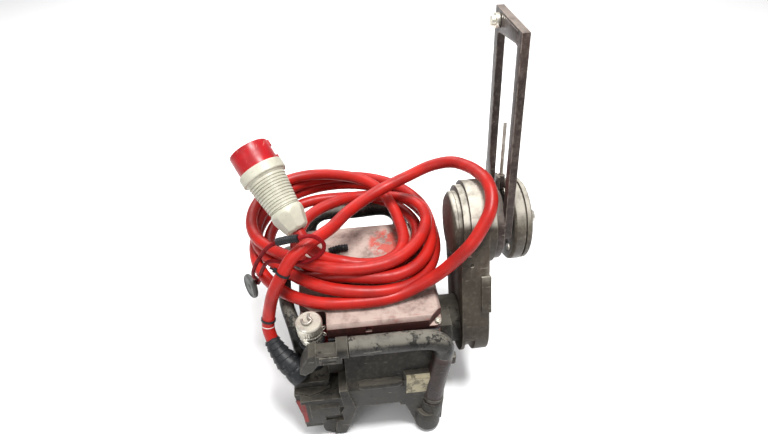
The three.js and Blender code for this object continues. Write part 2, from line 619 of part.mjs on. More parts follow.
function guardFrame() {
  const [half, spread, reach] = [GUARD.legHalf, GUARD.spread, GUARD.reach];
  const leg = (side) =>
    prism("x", polygon([
      guardPoint(0, side * (spread - half)), guardPoint(0, side * (spread + half)),
      guardPoint(reach - 30, side * (spread + half)), guardPoint(reach - 30, side * (spread - half)),
    ]), GUARD.left, GUARD.right);
  const low = reach - GUARD.plate;
  const plate = prism("x", polygon([
    guardPoint(low - 6, -spread - half), guardPoint(reach - 12, -spread - half),
    guardPoint(reach + 2, spread + half), guardPoint(low - 6, spread + half),
    guardPoint(low, spread - half - 8), guardPoint(low, -spread + half + 6),
  ]), GUARD.left, GUARD.right);
  // the raised pad that the guard itself lies on
  const pad = prism("x", polygon([
    guardPoint(low + 2, -spread + half), guardPoint(reach - 13, -spread + half),
    guardPoint(reach - 5, spread / 2), guardPoint(low + 2, spread / 2),
  ]), GUARD.left - GUARD.pad, GUARD.left + 1);
  const gusset = prism("x", polygon([
    guardPoint(20, 30), guardPoint(20, 58), guardPoint(66, 56), guardPoint(92, 52), guardPoint(92, 41),
    guardPoint(54, 26),
  ]), GUARD.left, GUARD.right - 3);
  const ring = pipe([GUARD.left - 1, HEAD.y, HEAD.z], [1, 0, 0], 20, 52, 4, 32);
  const sleeve = pipe([ARM.nose + GAP, HEAD.y, HEAD.z], [1, 0, 0], 17.5, 57, GUARD.left - ARM.nose - GAP, 32);
  return join(ring, leg(1), leg(-1), plate, pad, gusset, sleeve);
}
const knobAt = upGuard(GUARD.reach - 14, GUARD.spread - 11);
const LATCH_X = 205.5;
const rodUp = [0, Math.sin(GUARD_LEAN), Math.cos(GUARD_LEAN)];
const latchBlock = () => {
  const [y0, z0] = guardPoint(53.5, 0);
  const tab = prism("x", polygon([
    guardPoint(44, -8), guardPoint(72, -8), guardPoint(72, 8), guardPoint(44, 8),
  ]), GUARD.left, GUARD.left + 3);
  return join(rod([LATCH_X, y0, z0], rodUp, 5.5, 19, 12), tab);
};
add("guard_frame",
  cut(
    join(guardFrame(), latchBlock()),
    alongX(knobAt, GUARD.left - 2, GUARD.right + 1, 4 + GAP, 16),
    rod([LATCH_X, ...guardPoint(55, 0)], rodUp, 2.8, 30, 12),
  ), DARK_STEEL);
add("guard_knob",
  join(
    alongX(knobAt, GUARD.left - 11, GUARD.left - 5, 6.5, 20),
    alongX(knobAt, GUARD.left - 6, GUARD.left - GAP, 9.5, 24),
    alongX(knobAt, GUARD.left - 1, GUARD.right + 3, 4, 16),
  ), STEEL);
add("latch_rod", rod([LATCH_X, ...guardPoint(57, 0)], rodUp, 2.5, 92, 10), STEEL);

// ---------------------------------------------------------------- mains lead
// Out of the boot, up over the coil, round the head of the arm and back down to the coil.
const LEAD = [
  onGland(glandTip + bootLength - 4), [-139.8, -76.5, 182], [-137, -70, 199], [-131, -66, 222],
  [-122.5, -64, 246], [-108.5, -58, 270], [-94, -47, 288], [-72, -31, 296], [-40, 3, 291], [-10, 48, 283],
  [38, 86, 285], [87, 101, 298], [118, 103, 311], [146, 93, 323], [165, 64, 335], [176, 33, 343],
  [180, 10, 347], [181, -12, 341], [175, -32, 330], [162, -47, 314], [148, -57, 297], [134, -60, 280],
  [120, -60, 262], [104, -58, 242], [80, -60, 226], [51, -66, 216.5], [20, -71, 214.5],
];
const NUT_END = [-86, 8, 287];
const PLUG_END = [-148, 100, 367];
const plugAxis = new THREE.Vector3(...PLUG_END).sub(new THREE.Vector3(...NUT_END)).normalize();
const onPlug = (distance) => new THREE.Vector3(...NUT_END).addScaledVector(plugAxis, distance).toArray();
const TAIL = [onPlug(-GAP), onPlug(-14), [-66, -13, 264], [-48, -19, 253], [-34, -21, 250]];

function coilRing(grow = 0) {
  const [inner, outer] = [COIL.hole - grow, COIL.a + grow];
  const [low, high, r] = [COIL.bottom - grow, COIL.top + grow, 8];
  const ring = new THREE.LatheGeometry([
    [inner, low], [outer - r, low], [outer, low + r], [outer, high - 2 * r], [outer - 2 * r, high],
    [inner + r, high], [inner, high - r], [inner, low],
  ].map(([u, v]) => new THREE.Vector2(u, v)), 32);
  ring.rotateX(Math.PI / 2).scale(1, COIL.b / COIL.a, 1).translate(COIL.x, COIL.y, 0);
  return solid(ring);
}
add("mains_coil", coilRing(), CORD_RED);
// the lead starts square to the boot, just past its tip
const pastBoot = rod(onGland(glandTip + bootLength - 24), gland.along, 18, 24 + 2 * GAP, 16);
add("mains_lead", cut(tube(LEAD, CABLE_R, 8, 46), coilRing(GAP), pastBoot), CORD_RED);
add("mains_tail", cut(tube(TAIL, CABLE_R, 8, 8), coilRing(GAP)), CORD_RED);

function plugPins() {
  const across = new THREE.Vector3(0, 0, 1).cross(plugAxis).normalize();
  const over = plugAxis.clone().cross(across);
  return [0, 1, 2, 3, 4].map((i) => {
    const turn = (2 * Math.PI * i) / 5;
    const foot = new THREE.Vector3(...onPlug(108)).addScaledVector(across, 15 * Math.cos(turn));
    foot.addScaledVector(over, 15 * Math.sin(turn));
    return rod(foot.toArray(), plugAxis.toArray(), i === 0 ? 3.5 : 2.5, 23, 8);
  });
}

const plugTurned = (from, profile, segments) => turned(onPlug(from), plugAxis.toArray(), profile, segments);
add("plug_nut", plugTurned(0, [[0, 0], [14, 0], [21, 7], [24, 32], [23.5, 35], [0, 35]], 12), BEIGE);
add("plug_body",
  plugTurned(35.3, [[0, 0], [22.5, 0], [28.5, 50], [30, 52.5], [33.5, 53.5], [33.5, 68.5], [0, 68.5]], 28), BEIGE);
add("plug_shroud",
  join(plugTurned(104.1, [[0, 0], [30, 0], [30, 32.7], [26.5, 32.7], [26.5, 8], [0, 8]], 24), ...plugPins()),
  CORD_RED);

// ---------------------------------------------------------------- cord sleeve, tether and its cap
add("cord_sleeve", tube([[-109, -34, 309], [-95, -40, 317], [-81, -42, 320]], 5.5, 10, 4), BLACK);
const TETHER = [
  [-109.9, -33.6, 308.1], [-124, -30, 297], [-143, -25, 268], [-155, -18, 240], [-160, -4, 212], [-161, 9, 195],
  [-164.2, 12.2, 180],
];
add("tether", tube(TETHER, 2.8, 8, 20), CORD_RED);
add("hanging_cap",
  turned([-168, 10, 180], [-0.85, -0.5, 0.12], [[0, 0], [17, 0], [19.5, 2], [19.5, 6], [17.5, 8], [0, 8]], 28),
  BLACK);

export default head;
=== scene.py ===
"""The looks of the wall saw drive head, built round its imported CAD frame.

Places are in the design's own millimetres (the blade turns about X, the rail runs along Y, the feet
stand on Z = 0), and at() moves them into the frame, in metres.
"""

import json
import math

import bmesh
import bpy
from mathutils import Matrix, Quaternion, Vector

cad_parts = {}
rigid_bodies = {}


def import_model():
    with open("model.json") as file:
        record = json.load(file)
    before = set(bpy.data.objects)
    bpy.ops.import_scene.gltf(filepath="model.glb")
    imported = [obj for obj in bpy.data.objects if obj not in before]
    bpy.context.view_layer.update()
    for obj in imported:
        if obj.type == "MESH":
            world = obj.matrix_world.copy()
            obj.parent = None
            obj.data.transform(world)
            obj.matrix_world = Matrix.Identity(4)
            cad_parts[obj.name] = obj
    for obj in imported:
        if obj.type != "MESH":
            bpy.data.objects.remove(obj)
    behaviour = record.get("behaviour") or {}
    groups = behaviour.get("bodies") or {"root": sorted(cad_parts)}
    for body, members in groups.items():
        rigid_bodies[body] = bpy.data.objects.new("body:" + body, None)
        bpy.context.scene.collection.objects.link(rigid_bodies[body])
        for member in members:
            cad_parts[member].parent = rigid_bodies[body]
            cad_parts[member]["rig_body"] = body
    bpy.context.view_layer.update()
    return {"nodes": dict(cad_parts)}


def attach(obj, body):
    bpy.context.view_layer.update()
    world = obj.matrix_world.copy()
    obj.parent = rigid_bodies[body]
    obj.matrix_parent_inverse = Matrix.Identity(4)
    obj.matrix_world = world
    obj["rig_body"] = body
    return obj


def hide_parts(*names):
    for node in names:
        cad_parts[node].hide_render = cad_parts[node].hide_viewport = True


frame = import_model()

# ------------------------------------------------------------------ driving dimensions, in millimetres
CENTRE_X = 54.5  # the frame's origin along the design's X
LID_TOP = 205
CABLE_D = 18

GLAND = Vector((-98.7, -122.1, 118.6))
GLAND_ALONG = Vector((-35, 34, 44)).normalized()
NUT_END = Vector((-86, 8, 287))
PLUG_END = Vector((-148, 100, 367))
PLUG_ALONG = (PLUG_END - NUT_END).normalized()

X, Y, Z = Vector((1, 0, 0)), Vector((0, 1, 0)), Vector((0, 0, 1))


def at(point):
    """A place in the design, as a place in the frame."""
    x, y, z = point
    return Vector((x - CENTRE_X, y, z)) / 1000


def on_gland(distance):
    return GLAND + GLAND_ALONG * distance


def on_plug(distance):
    return NUT_END + PLUG_ALONG * distance


# ------------------------------------------------------------------ materials
class Shader:
    """A node material being put together. A socket passed as an input is linked, a number is set."""

    def __init__(self, name):
        self.material = bpy.data.materials.new(name)
        self.material.use_nodes = True
        self.tree = self.material.node_tree
        self.surface = self.tree.nodes["Principled BSDF"]
        self.place = self.add("ShaderNodeTexCoord").outputs["Object"]

    def add(self, kind, inputs=None, **settings):
        node = self.tree.nodes.new(kind)
        for name, value in settings.items():
            setattr(node, name, value)
        for name, value in (inputs or {}).items():
            self.feed(node.inputs[name], value)
        return node

    def feed(self, socket, value):
        if isinstance(value, bpy.types.NodeSocket):
            self.tree.links.new(value, socket)
        else:
            socket.default_value = value

    def noise(self, scale, detail=4, roughness=0.6, stretch=None):
        place = self.place
        if stretch:
            place = self.add("ShaderNodeMapping", {"Vector": place, "Scale": stretch}).outputs[0]
        inputs = {"Vector": place, "Scale": scale, "Detail": detail, "Roughness": roughness}
        return self.add("ShaderNodeTexNoise", inputs).outputs["Fac"]

    def step(self, value, low, high, to_low=0.0, to_high=1.0):
        """value's stretch from low to high, spread smoothly over to_low to to_high."""
        inputs = {"Value": value, "From Min": low, "From Max": high, "To Min": to_low, "To Max": to_high}
        return self.add("ShaderNodeMapRange", inputs, interpolation_type="SMOOTHSTEP").outputs["Result"]

    def math(self, operation, a, b=0.0):
        return self.add("ShaderNodeMath", {0: a, 1: b}, operation=operation).outputs[0]

    def times(self, a, b):
        return self.math("MULTIPLY", a, b)

    def mix(self, share, a, b):
        node = self.add("ShaderNodeMix", data_type="RGBA")
        self.feed(node.inputs["Factor"], share)
        for socket, value in ((node.inputs[6], a), (node.inputs[7], b)):
            self.feed(socket, value if isinstance(value, bpy.types.NodeSocket) else (*value, 1))
        return node.outputs[2]

    def near(self, middle, radius):
        """1 within this many millimetres of a place in the design, fading to 0 a little further out."""
        inputs = {0: self.place, 1: at(middle)}
        distance = self.add("ShaderNodeVectorMath", inputs, operation="DISTANCE").outputs["Value"]
        return self.step(distance, radius / 1000, radius * 1.3 / 1000, 1.0, 0.0)

    def facing_up(self, low=0.2, high=0.95):
        normal = self.add("ShaderNodeNewGeometry").outputs["Normal"]
        return self.step(self.add("ShaderNodeSeparateXYZ", {0: normal}).outputs["Z"], low, high)

    def edges(self, radius=0.0025, low=0.01, high=0.12):
        """1 along the piece's own sharp edges, 0 away from them."""
        rounded = self.add("ShaderNodeBevel", {"Radius": radius}, samples=6).outputs[0]
        flat = self.add("ShaderNodeNewGeometry").outputs["Normal"]
        both = self.add("ShaderNodeVectorMath", {0: rounded, 1: flat}, operation="DOT_PRODUCT")
        return self.step(self.math("SUBTRACT", 1.0, both.outputs["Value"]), low, high)

    def bump(self, height, distance, strength=1.0, under=None):
        inputs = {"Height": height, "Distance": distance, "Strength": strength}
        node = self.add("ShaderNodeBump", inputs)
        if under:
            self.feed(node.inputs["Normal"], under)
        return node.outputs[0]

    def done(self, color, roughness, normal=None, **constants):
        self.feed(self.surface.inputs["Base Color"], color)
        self.feed(self.surface.inputs["Roughness"], roughness)
        if normal:
            self.feed(self.surface.inputs["Normal"], normal)
        for name, value in constants.items():
            self.feed(self.surface.inputs[name.replace("_", " ")], value)
        return self.material


def worn_paint(name, paint, grime, dust, bare, dusty=0.6, worn=0.6, rough=0.6, grain=0.0003, chips=0.6,
               patchy=0.0, top_facing=(0.45, 0.8), smear=None):
    """Paint that has aged on a casting: grime in patches, bare edges, chips, and a lighter tone on what faces
    up, partly dust and partly painted light from above; dust and dusty give its colour and share.

    top_facing is how much a face has to face up for that dust and painted light to lie on it. smear is a
    place in the design, a radius in millimetres and a colour that has rubbed off there.
    """
    s = Shader(name)
    patches = s.step(s.noise(14, 6), 0.35, 0.68)
    color = s.mix(patches, paint, grime)
    fine = s.noise(160, 5, 0.7)
    color = s.mix(s.step(fine, 0.42, 0.78, 0, 0.22), color, bare)
    rubbed = s.times(s.step(s.noise(9, 5, 0.7), 0.52, 0.62), s.step(s.noise(75, 6, 0.75), 0.42, 0.6))
    color = s.mix(s.times(rubbed, patchy), color, bare)
    # What faces up is made lighter with the dust colour: partly settled dust, partly painted light from
    # above.
    dust_and_top_light = s.times(s.facing_up(*top_facing), s.step(s.noise(38, 6, 0.65), 0.26, 0.6, 0.25, 1.0))
    color = s.mix(s.times(dust_and_top_light, dusty), color, dust)
    if smear:
        middle, radius, shade = smear
        share = s.times(s.near(middle, radius), s.step(s.noise(60, 6, 0.7), 0.4, 0.52))
        color = s.mix(s.times(share, 0.8), color, shade)
    rim = s.times(s.edges(), s.step(s.noise(70, 5, 0.7), 0.38, 0.6))
    color = s.mix(s.times(rim, worn), color, bare)
    chipped = s.step(s.noise(55, 8, 0.75), chips, chips + 0.03)
    color = s.mix(s.times(chipped, 0.85), color, [c * 0.22 for c in paint])
    scratch = s.step(s.noise(45, 3, 0.5, (1, 9, 3)), 0.66, 0.7)
    color = s.mix(s.times(scratch, 0.4), color, bare)
    height = s.math("ADD", s.times(fine, 0.6), s.times(chipped, -0.5))
    normal = s.bump(height, grain, 0.8)
    roughness = s.step(s.math("ADD", fine, s.times(dust_and_top_light, 0.5)), 0.3, 1.1, rough - 0.12, rough + 0.25)
    return s.done(color, roughness, normal, Metallic=0.0, Specular_IOR_Level=0.22)


def bare_metal(name, color, dark, rough=0.35, stained=0.6, turned=False):
    """Machined steel with stains, fine scratches and darker dirt."""
    s = Shader(name)
    stretch = (1, 12, 12) if turned else (8, 8, 1)
    brush = s.noise(120, 4, 0.6, stretch)
    stain = s.step(s.noise(45, 7, 0.7), 0.42, 0.62)
    tint = s.mix(s.times(stain, stained), color, dark)
    tint = s.mix(s.step(brush, 0.3, 0.7, 0, 0.25), tint, dark)
    roughness = s.step(s.math("ADD", brush, s.times(stain, 0.5)), 0.2, 1.2, rough - 0.08, rough + 0.3)
    normal = s.bump(s.math("ADD", brush, stain), 0.00008, 0.6)
    return s.done(tint, roughness, normal, Metallic=0.85)


def moulded(name, color, shade, rough=0.45, scuffs=(0.8, 0.8, 0.8), scuffed=0.5, grain=0.00008, **constants):
    """Moulded plastic or rubber: uneven colour, grey scuffs, light scratches and a fine grain."""
    s = Shader(name)
    tint = s.mix(s.step(s.noise(30, 5), 0.3, 0.72), color, shade)
    scuff = s.step(s.noise(95, 8, 0.75), 0.6, 0.68)
    tint = s.mix(s.times(scuff, scuffed), tint, scuffs)
    lines = s.step(s.noise(70, 2, 0.4, (10, 1, 2)), 0.68, 0.71)
    tint = s.mix(s.times(lines, scuffed * 0.6), tint, scuffs)
    uneven = s.math("ADD", s.noise(60, 4), s.times(scuff, 0.4))
    roughness = s.step(uneven, 0.3, 1.0, rough - 0.08, rough + 0.25)
    normal = s.bump(s.noise(900, 2), grain, 0.6)
    return s.done(tint, roughness, normal, **constants)


LOOK = {}


def make_materials():
    """The painted, bare and moulded surfaces, by the short names that the pieces use."""
    LOOK["cast"] = worn_paint("worn_casting", (0.022, 0.019, 0.015), (0.009, 0.008, 0.007),
                              (0.1, 0.09, 0.072), (0.17, 0.155, 0.125), worn=0.9, patchy=0.12)
    # The handle's upward faces are lighter than the rest: partly dust, partly painted light from above.
    LOOK["handle"] = worn_paint("worn_handle", (0.024, 0.022, 0.02), (0.008, 0.008, 0.008),
                                (0.17, 0.157, 0.13), (0.2, 0.185, 0.16), dusty=0.75, chips=0.53, rough=0.45)
    LOOK["post"] = worn_paint("scuffed_post", (0.032, 0.013, 0.01), (0.012, 0.008, 0.007),
                              (0.15, 0.12, 0.1), (0.14, 0.1, 0.085), dusty=0.5, chips=0.54, rough=0.48)
    LOOK["cream"] = worn_paint("cream_patch", (0.46, 0.41, 0.27), (0.3, 0.26, 0.17),
                               (0.5, 0.46, 0.34), (0.12, 0.1, 0.08), dusty=0.3, chips=0.5, rough=0.6)
    # The arm's upward faces turn pale with a sharp edge: partly dust, partly painted light from above.
    LOOK["arm"] = worn_paint("arm_dust_and_top_light", (0.048, 0.038, 0.028), (0.027, 0.021, 0.016),
                             (0.5, 0.47, 0.4), (0.2, 0.175, 0.14), dusty=1.0, chips=0.68, patchy=0.12,
                             top_facing=(0.48, 0.68))
    LOOK["red"] = worn_paint("red_housing", (0.26, 0.016, 0.015), (0.09, 0.014, 0.013),
                             (0.3, 0.2, 0.17), (0.14, 0.08, 0.07), dusty=0.5)
    LOOK["lid"] = worn_paint("dusty_lid", (0.07, 0.026, 0.022), (0.04, 0.02, 0.017),
                             (0.4, 0.31, 0.27), (0.3, 0.07, 0.06), dusty=0.98, worn=0.7, chips=0.74,
                             rough=0.7, patchy=0.15, smear=((50, 50, LID_TOP), 30, (0.42, 0.05, 0.035)))
    LOOK["guard"] = worn_paint("guard_steel", (0.045, 0.03, 0.026), (0.02, 0.014, 0.012),
                               (0.26, 0.22, 0.19), (0.26, 0.21, 0.18), rough=0.42, worn=0.95, chips=0.72,
                               patchy=0.15)
    LOOK["flange"] = worn_paint("flange_steel", (0.1, 0.086, 0.066), (0.05, 0.042, 0.033),
                                (0.42, 0.39, 0.33), (0.33, 0.3, 0.25), dusty=0.8, worn=0.9, rough=0.45)
    LOOK["steel"] = bare_metal("worn_steel", (0.58, 0.55, 0.49), (0.2, 0.17, 0.13))
    LOOK["nickel"] = bare_metal("nickel_plate", (0.72, 0.69, 0.6), (0.3, 0.26, 0.2), rough=0.3, stained=0.5)
    LOOK["turned"] = bare_metal("turned_steel", (0.5, 0.47, 0.42), (0.24, 0.2, 0.16), turned=True)
    LOOK["dark"] = bare_metal("dark_steel", (0.13, 0.11, 0.1), (0.05, 0.04, 0.035), rough=0.45)
    LOOK["rubber"] = moulded("black_rubber", (0.009, 0.0095, 0.011), (0.017, 0.018, 0.02), 0.5,
                             (0.13, 0.13, 0.13), 0.55, Specular_IOR_Level=0.25)
    LOOK["grey_rubber"] = moulded("grey_rubber", (0.07, 0.076, 0.07), (0.045, 0.05, 0.046), 0.55,
                                  (0.2, 0.2, 0.19), 0.4)
    LOOK["beige"] = moulded("beige_plastic", (0.48, 0.465, 0.375), (0.36, 0.345, 0.27), 0.42,
                            (0.12, 0.1, 0.075), 0.3)
    LOOK["shroud"] = moulded("red_plastic", (0.4, 0.007, 0.011), (0.25, 0.005, 0.008), 0.36,
                             (0.6, 0.32, 0.25), 0.5, Specular_IOR_Level=0.3)
    LOOK["cable"] = moulded("red_cable", (0.42, 0.013, 0.008), (0.27, 0.008, 0.006), 0.42,
                            (0.16, 0.022, 0.016), 0.35, 0.0001, Specular_IOR_Level=0.28)
    LOOK["tether"] = moulded("dark_red_cord", (0.2, 0.004, 0.007), (0.11, 0.002, 0.004), 0.6,
                             (0.2, 0.03, 0.03), 0.2, Specular_IOR_Level=0.1)
    LOOK["white"] = moulded("white_mark", (0.7, 0.7, 0.68), (0.6, 0.6, 0.58), 0.5, (0.4, 0.3, 0.3), 0.3)
    LOOK["copper"] = bare_metal("wound_copper", (0.55, 0.24, 0.1), (0.2, 0.08, 0.03), turned=True)
    LOOK["board"] = moulded("circuit_board", (0.02, 0.1, 0.04), (0.015, 0.06, 0.03), 0.35,
                            (0.5, 0.45, 0.2), 0.4)


# ------------------------------------------------------------------ mesh helpers
def finish_mesh(name, bm, look, body, stands_for=(), angle=32):
    """Turns bm into an object of the scene that rides on body."""
    bmesh.ops.recalc_face_normals(bm, faces=bm.faces)
    mesh = bpy.data.meshes.new(name)
    bm.to_mesh(mesh)
    bm.free()
    mesh.shade_smooth()
    mesh.set_sharp_from_angle(angle=math.radians(angle))
    mesh.materials.append(LOOK[look])
    obj = bpy.data.objects.new(name, mesh)
    bpy.context.scene.collection.objects.link(obj)
    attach(obj, body)
    if stands_for:
        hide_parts(*stands_for)
    return obj


def add_lathe(bm, start, direction, profile, segments=64, sway=None):
    """Adds a solid of revolution. profile holds (radius, distance along direction) in millimetres."""
    turn = Quaternion(Z.rotation_difference(Vector(direction).normalized()))
    rings = []
    for radius, distance in profile:
        count = 1 if radius < 1e-6 else segments
        ring = []
        for i in range(count):
            angle = 2 * math.pi * i / segments
            r = radius + (sway(angle, distance) if sway and count > 1 else 0)
            local = Vector((r * math.cos(angle), r * math.sin(angle), distance))
            ring.append(bm.verts.new(at(Vector(start) + turn @ local)))
        rings.append(ring)
    for low, high in zip(rings, rings[1:]):
        for i in range(segments):
            j = (i + 1) % segments
            corners = [low[i % len(low)], low[j % len(low)], high[j % len(high)], high[i % len(high)]]
            unique = list(dict.fromkeys(corners))
            if len(unique) > 2:
                bm.faces.new(unique)
    return bm


def spline(points, step=4.0):
    """Points about step apart on a centripetal Catmull-Rom curve through the given ones."""
    points = [Vector(p) for p in points]
    line = [points[0] * 2 - points[1], *points, points[-1] * 2 - points[-2]]
    out = []
    for i in range(1, len(line) - 2):
        p0, p1, p2, p3 = line[i - 1:i + 3]
        t0 = 0.0
        t1 = t0 + max((p1 - p0).length, 1e-6) ** 0.5
        t2 = t1 + max((p2 - p1).length, 1e-6) ** 0.5
        t3 = t2 + max((p3 - p2).length, 1e-6) ** 0.5
        count = max(2, round((p2 - p1).length / step))
        for k in range(count):
            t = t1 + (t2 - t1) * k / count
            a1 = p0.lerp(p1, (t - t0) / (t1 - t0))
            a2 = p1.lerp(p2, (t - t1) / (t2 - t1))
            a3 = p2.lerp(p3, (t - t2) / (t3 - t2))
            b1 = a1.lerp(a2, (t - t0) / (t2 - t0))
            b2 = a2.lerp(a3, (t - t1) / (t3 - t1))
            out.append(b1.lerp(b2, (t - t1) / (t2 - t1)))
    out.append(points[-1])
    return out


def add_tube(bm, line, radius, sides=24, caps=True):
    """Adds a tube along a line of points. radius is a number, or a function of the share of the way."""
    tangents = []
    for i in range(len(line)):
        tangents.append((line[min(i + 1, len(line) - 1)] - line[max(i - 1, 0)]).normalized())
    side = tangents[0].orthogonal().normalized()
    rings = []
    for i, (point, tangent) in enumerate(zip(line, tangents)):
        if i:
            side = (tangents[i - 1].rotation_difference(tangent) @ side)
            side = (side - tangent * side.dot(tangent)).normalized()
        over = tangent.cross(side)
        r = radius(i / (len(line) - 1)) if callable(radius) else radius
        ring = []
        for k in range(sides):
            angle = 2 * math.pi * k / sides
            ring.append(bm.verts.new(at(point + (side * math.cos(angle) + over * math.sin(angle)) * r)))
        rings.append(ring)
    for low, high in zip(rings, rings[1:]):
        for k in range(sides):
            j = (k + 1) % sides
            bm.faces.new((low[k], low[j], high[j], high[k]))
    if caps:
        bm.faces.new(rings[0][::-1])
        bm.faces.new(rings[-1])
    return bm


def add_box(bm, centre, size, turn=None, bevel=0.0):
    """Adds a box with rounded edges. size is its full size along its own axes."""
    made = bmesh.ops.create_cube(bm, size=1.0)["verts"]
    turn = turn or Quaternion()
    for v in made:
        local = Vector((v.co.x * size[0], v.co.y * size[1], v.co.z * size[2]))
        v.co = at(Vector(centre) + turn @ local)
    if bevel:
        edges = list({e for v in made for e in v.link_edges})
        bmesh.ops.bevel(bm, geom=edges, offset=bevel / 1000, segments=3, profile=0.6, affect="EDGES",
                        clamp_overlap=True)
    return bm


def soften(node, look, width=1.2, segments=2, angle=30):
    """Stands in for a CAD node with its own shape, its sharp edges rounded over."""
    body = frame["nodes"][node]["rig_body"]
    bm = bmesh.new()
    bm.from_mesh(frame["nodes"][node].data)
    bmesh.ops.remove_doubles(bm, verts=bm.verts, dist=2e-6)
    bmesh.ops.dissolve_limit(bm, angle_limit=math.radians(2), verts=bm.verts, edges=bm.edges)
    sharp = [e for e in bm.edges if len(e.link_faces) == 2 and e.calc_face_angle(0) > math.radians(angle)]
    if width:
        bmesh.ops.bevel(bm, geom=sharp, offset=width / 1000, segments=segments, profile=0.5, affect="EDGES",
                        clamp_overlap=True, harden_normals=False)
    bmesh.ops.triangulate(bm, faces=[f for f in bm.faces if len(f.verts) > 4])
    return finish_mesh(f"{node}_finished", bm, look, body, (node,))


# ------------------------------------------------------------------ camera, light and floor
CAMERA = {"at": (-12, -546, 800), "yaw": 5, "pitch": 42, "roll": 1.5, "focal_px": 530, "width_px": 768}
SENSOR_MM = 36
FLOOR_GAP = 0.0005  # metres, so that the feet don't share the floor's plane


def make_camera():
    yaw, pitch, roll = (math.radians(CAMERA[k]) for k in ("yaw", "pitch", "roll"))
    level = Vector((math.sin(yaw), math.cos(yaw), 0))
    right = Vector((math.cos(yaw), -math.sin(yaw), 0))
    forward = level * math.cos(pitch) - Z * math.sin(pitch)
    down = forward.cross(right)
    cos, sin = math.cos(roll), math.sin(roll)
    right, down = right * cos + down * sin, down * cos - right * sin
    data = bpy.data.cameras.new("camera")
    data.sensor_width = SENSOR_MM
    data.lens = SENSOR_MM * CAMERA["focal_px"] / CAMERA["width_px"]
    data.clip_start, data.clip_end = 0.01, 50
    camera = bpy.data.objects.new("camera", data)
    turn = Matrix((right, -down, -forward)).transposed().to_4x4()
    camera.matrix_world = Matrix.Translation(at(CAMERA["at"])) @ turn
    bpy.context.scene.collection.objects.link(camera)
    bpy.context.scene.camera = camera
    bpy.context.scene.view_settings.view_transform = "Standard"


def make_stage():
    """The pale floor and the even light of the surroundings."""
    s = Shader("pale_floor")
    tint = s.mix(s.noise(3, 2), (0.93, 0.93, 0.93), (0.95, 0.95, 0.95))
    bm = bmesh.new()
    bmesh.ops.create_grid(bm, x_segments=2, y_segments=2, size=6)
    mesh = bpy.data.meshes.new("floor")
    bm.to_mesh(mesh)
    bm.free()
    mesh.materials.append(s.done(tint, 0.85))
    floor = bpy.data.objects.new("floor", mesh)
    floor.location.z = -FLOOR_GAP
    bpy.context.scene.collection.objects.link(floor)
    world = bpy.context.scene.world or bpy.data.worlds.new("studio")
    bpy.context.scene.world = world
    world.use_nodes = True
    background = world.node_tree.nodes["Background"]
    background.inputs["Color"].default_value = (1, 1, 1, 1)
    background.inputs["Strength"].default_value = 0.5


def make_light(name, place, towards, size, watts):
    data = bpy.data.lights.new(name, "AREA")
    data.shape, data.size, data.energy = "DISK", size, watts
    light = bpy.data.objects.new(name, data)
    light.location = place
    light.rotation_euler = (Vector(towards) - Vector(place)).to_track_quat("-Z", "Y").to_euler()
    bpy.context.scene.collection.objects.link(light)


# ------------------------------------------------------------------ the mains cable
LEAD = [  # up out of the boot, over the coil, round the head of the arm and back down to the coil
    on_gland(70), (-139.8, -76.5, 182), (-137, -70, 199), (-131, -66, 222), (-122.5, -64, 246),
    (-108.5, -58, 270), (-94, -47, 288), (-72, -31, 296), (-40, 3, 291), (-10, 48, 283), (38, 86, 285),
    (87, 101, 298), (118, 103, 311), (146, 93, 323), (165, 64, 335), (176, 33, 343), (180, 10, 347),
    (181, -12, 341), (175, -32, 330), (162, -47, 314), (148, -57, 297), (134, -60, 280), (120, -60, 262),
    (104, -58, 242), (80, -60, 226), (51, -66, 216.5), (20, -71, 214.5),
]
TAIL = [(-48, -19, 253), (-66, -13, 264), on_plug(-14), on_plug(-0.3)]  # from the coil up into the plug's nut
COIL_MIDDLE = Vector((-26, 66, 0))
# For each turn, from the front round by the left, back and right: the distance from the coil's middle in
# eight directions, and the height there.
TURNS = [
    ((137, 138, 137, 137, 132, 134, 143, 152), (214.3, 214.3, 214.3, 214.3, 214.3, 215, 217, 219)),
    ((126, 115, 133, 136, 130, 134, 138, 142), (228, 230, 232, 232.3, 232.3, 233, 236, 236)),
    ((103, 104, 115, 110, 96, 108, 120, 104), (232, 215, 215, 214.3, 214.3, 214.3, 214.3, 214.3)),
    ((86, 88, 60, 46, 52, 92, 130, 123), (214.3, 232, 244, 246, 244, 236, 253, 250)),
    ((105, 104, 136, 141, 109, 90, 91, 108), (250, 250, 250, 250, 253, 254, 236, 238)),
]
TURNS_END = (86, 245)
PER_DIRECTION = 4


def coil_points():
    """The turns of the coil, from the lead's end round to the tail's beginning."""
    reach = [r for turn in TURNS for r in turn[0]] + [TURNS_END[0]]
    height = [h for turn in TURNS for h in turn[1]] + [TURNS_END[1]]
    apart = 1000  # so far along x that every direction gets the same number of samples
    rows = [Vector((i * apart, r, h)) for i, (r, h) in enumerate(zip(reach, height))]
    points = []
    for sample in spline(rows, apart / PER_DIRECTION):
        angle = -math.pi / 2 - sample.x / apart * math.pi / 4
        outward = Vector((math.cos(angle), math.sin(angle), 0))
        points.append(COIL_MIDDLE + outward * sample.y + Z * sample.z)
    return points


def cable_line():
    return spline([*LEAD, *coil_points(), *TAIL], 5)


